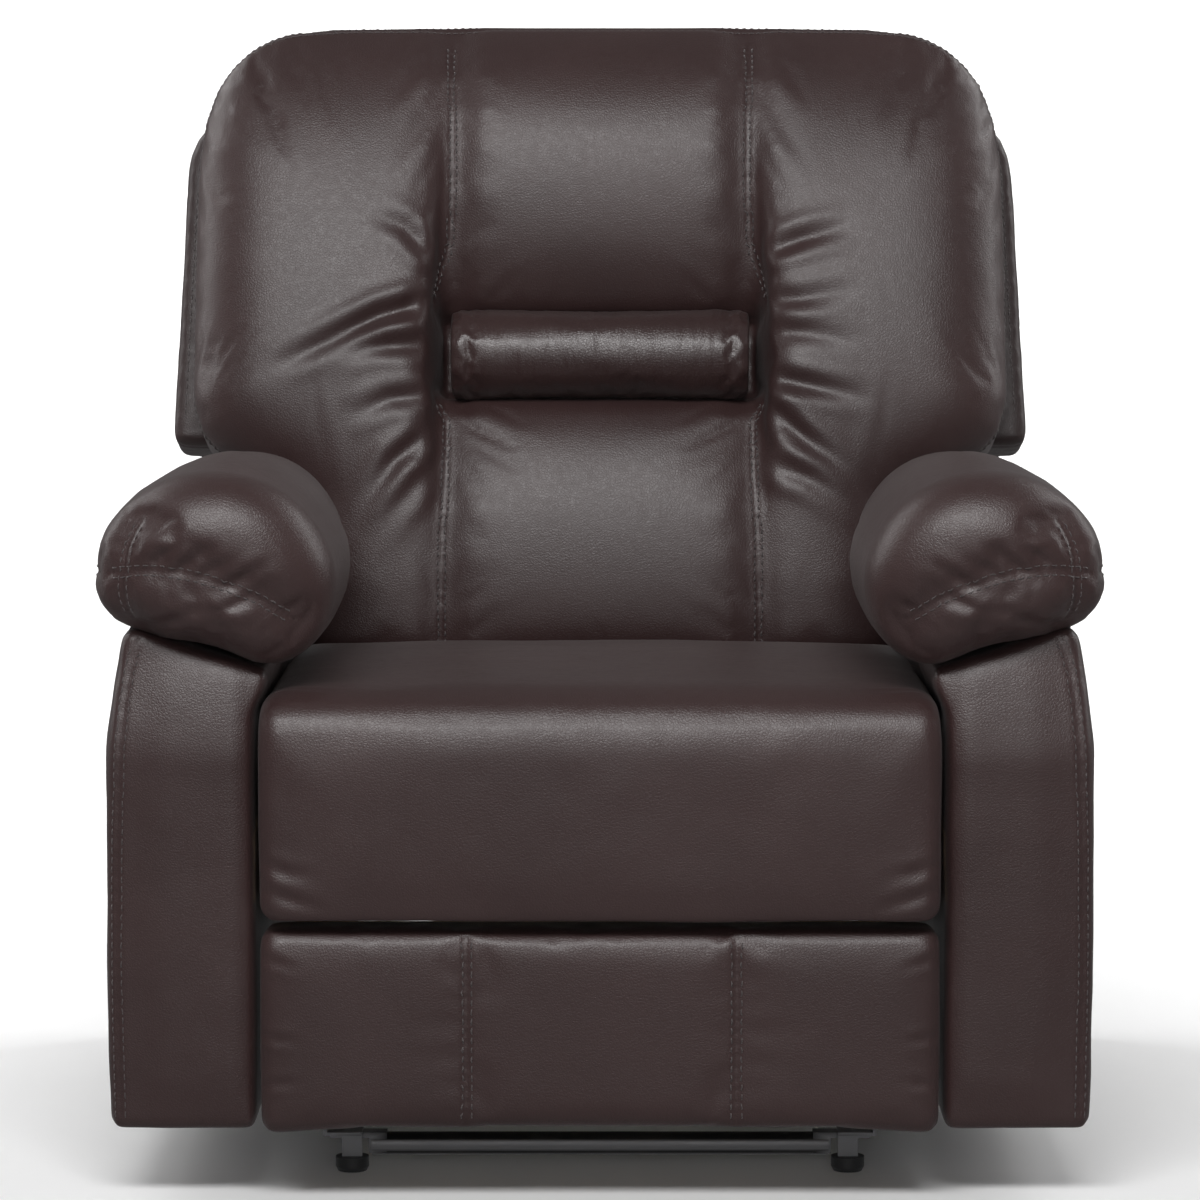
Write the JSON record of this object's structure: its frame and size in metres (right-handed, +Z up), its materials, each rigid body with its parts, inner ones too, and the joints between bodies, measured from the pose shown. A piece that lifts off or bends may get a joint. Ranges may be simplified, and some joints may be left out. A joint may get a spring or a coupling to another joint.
{
  "type": "recliner armchair",
  "caption": "Padded reclining armchair with overstuffed arms, pillow back with neck roll, fold-out footrest and sliding steel base.",
  "frame": {"origin": "on the floor under the middle of the chair's overall box", "axes": "+Z up, the chair faces -Y, +X to the right of a viewer in front of it"},
  "size_m": [0.892, 0.93, 1.0533],
  "materials": {
    "cable_jacket": "smooth black",
    "glide_plastic": "moulded black",
    "handle_plastic": "moulded black, fine texture",
    "leather_arm": "satin dark brown, fine grain",
    "leather_back": "satin dark brown, fine grain",
    "leather_main": "satin dark brown, fine grain",
    "leather_roll": "glossier dark brown, fine grain",
    "pad_felt": "felt",
    "pin_steel": "zinc plated",
    "plywood": "birch plywood",
    "shell_leather": "satin dark brown, fine grain",
    "spring_wire": "oiled spring steel",
    "steel_black": "satin black powder coat",
    "timber": "sawn hardwood",
    "webbing": "woven strap"
  },
  "bodies": {
    "base": {"base_rail_left": "steel_black", "base_rail_right": "steel_black", "front_cross_tube": "steel_black", "rear_cross_tube": "steel_black", "foot_glides": "glide_plastic", "base_bolts": "pin_steel", "base_pins": "pin_steel"},
    "rear_swing": {"rear_swing_links": "steel_black"},
    "front_swing": {"front_swing_links": "steel_black"},
    "carriage": {"side_plate_left": "steel_black", "side_plate_right": "steel_black", "mechanism_pins": "pin_steel", "seat_side_rails": "timber", "seat_front_rail": "timber", "seat_rear_rail": "timber", "seat_springs": "spring_wire", "spring_pad": "pad_felt", "seat_cushion": "leather_main", "arm_frame_left": "plywood", "arm_frame_right": "plywood", "arm_cover_left": "leather_arm", "arm_cover_right": "leather_arm", "arm_pad_left": "leather_arm", "arm_pad_right": "leather_arm", "arm_bolts": "pin_steel", "rear_apron": "shell_leather", "release_bezel": "handle_plastic", "release_cable": "cable_jacket", "handle_pin": "pin_steel"},
    "handle": {"release_handle": "handle_plastic"},
    "front_links": {"front_link_left": "steel_black", "front_link_right": "steel_black", "torque_tube": "steel_black", "front_link_pins": "pin_steel"},
    "rear_links": {"rear_link_left": "steel_black", "rear_link_right": "steel_black"},
    "outer_links": {"outer_link_left": "steel_black", "outer_link_right": "steel_black", "outer_link_pins": "pin_steel"},
    "inner_links": {"inner_link_left": "steel_black", "inner_link_right": "steel_black"},
    "footrest": {"footrest_board": "plywood", "footrest_pad": "leather_main", "footrest_brackets": "steel_black", "footrest_pins": "pin_steel", "footrest_screws": "pin_steel"},
    "back": {"back_brackets": "steel_black", "back_post_left": "timber", "back_post_right": "timber", "back_cross_rails": "timber", "back_wings": "plywood", "back_webbing": "webbing", "back_shell": "shell_leather", "back_cushion": "leather_back", "lumbar_roll": "leather_roll", "back_bolts": "pin_steel"}
  },
  "joints": [
    {"name": "rear_swing_turn", "type": "hinge", "parent": "base", "child": "rear_swing", "pos_m": [0, 0.22, 0.085], "axis": [1, 0, 0], "range_deg": [0, 50.01]},
    {"name": "front_swing_turn", "type": "hinge", "parent": "base", "child": "front_swing", "pos_m": [0, -0.12, 0.085], "axis": [1, 0, 0], "range_deg": [0, 50.01]},
    {"name": "carriage_turn", "type": "hinge", "parent": "rear_swing", "child": "carriage", "pos_m": [0, 0.27917, 0.21188], "axis": [-1, 0, 0], "range_deg": [0, 50.01]},
    {"name": "back_recline", "type": "hinge", "parent": "carriage", "child": "back", "pos_m": [0, 0.18, 0.3], "axis": [-1, 0, 0], "range_deg": [0, 35]},
    {"name": "footrest_open", "type": "hinge", "parent": "carriage", "child": "front_links", "pos_m": [0, -0.315, 0.262], "axis": [-1, 0, 0], "range_deg": [0, 90]},
    {"name": "rear_link_turn", "type": "hinge", "parent": "carriage", "child": "rear_links", "pos_m": [0, -0.255, 0.236], "axis": [-1, 0, 0], "range_deg": [0, 90]},
    {"name": "outer_link_turn", "type": "hinge", "parent": "front_links", "child": "outer_links", "pos_m": [0, -0.24489, 0.06936], "axis": [1, 0, 0], "range_deg": [0, 90]},
    {"name": "inner_link_turn", "type": "hinge", "parent": "front_links", "child": "inner_links", "pos_m": [0, -0.26199, 0.11635], "axis": [1, 0, 0], "range_deg": [0, 90]},
    {"name": "footrest_turn", "type": "hinge", "parent": "outer_links", "child": "footrest", "pos_m": [0, -0.335, 0.185], "axis": [-1, 0, 0], "range_deg": [0, 90]},
    {"name": "handle_pull", "type": "hinge", "parent": "carriage", "child": "handle", "pos_m": [-0.424, -0.252, 0.363], "axis": [0, 0, 1], "range_deg": [0, 30], "stiffness_Nm_per_rad": 0.6, "springref_deg": -8.59}
  ],
  "couplings": [
    {"joint": "rear_swing_turn", "follows": "back_recline", "ratio": 1.4286},
    {"joint": "front_swing_turn", "follows": "back_recline", "ratio": 1.4286},
    {"joint": "carriage_turn", "follows": "back_recline", "ratio": 1.4286},
    {"joint": "rear_link_turn", "follows": "footrest_open", "ratio": 1},
    {"joint": "outer_link_turn", "follows": "footrest_open", "ratio": 1},
    {"joint": "inner_link_turn", "follows": "footrest_open", "ratio": 1},
    {"joint": "footrest_turn", "follows": "footrest_open", "ratio": 1}
  ]
}
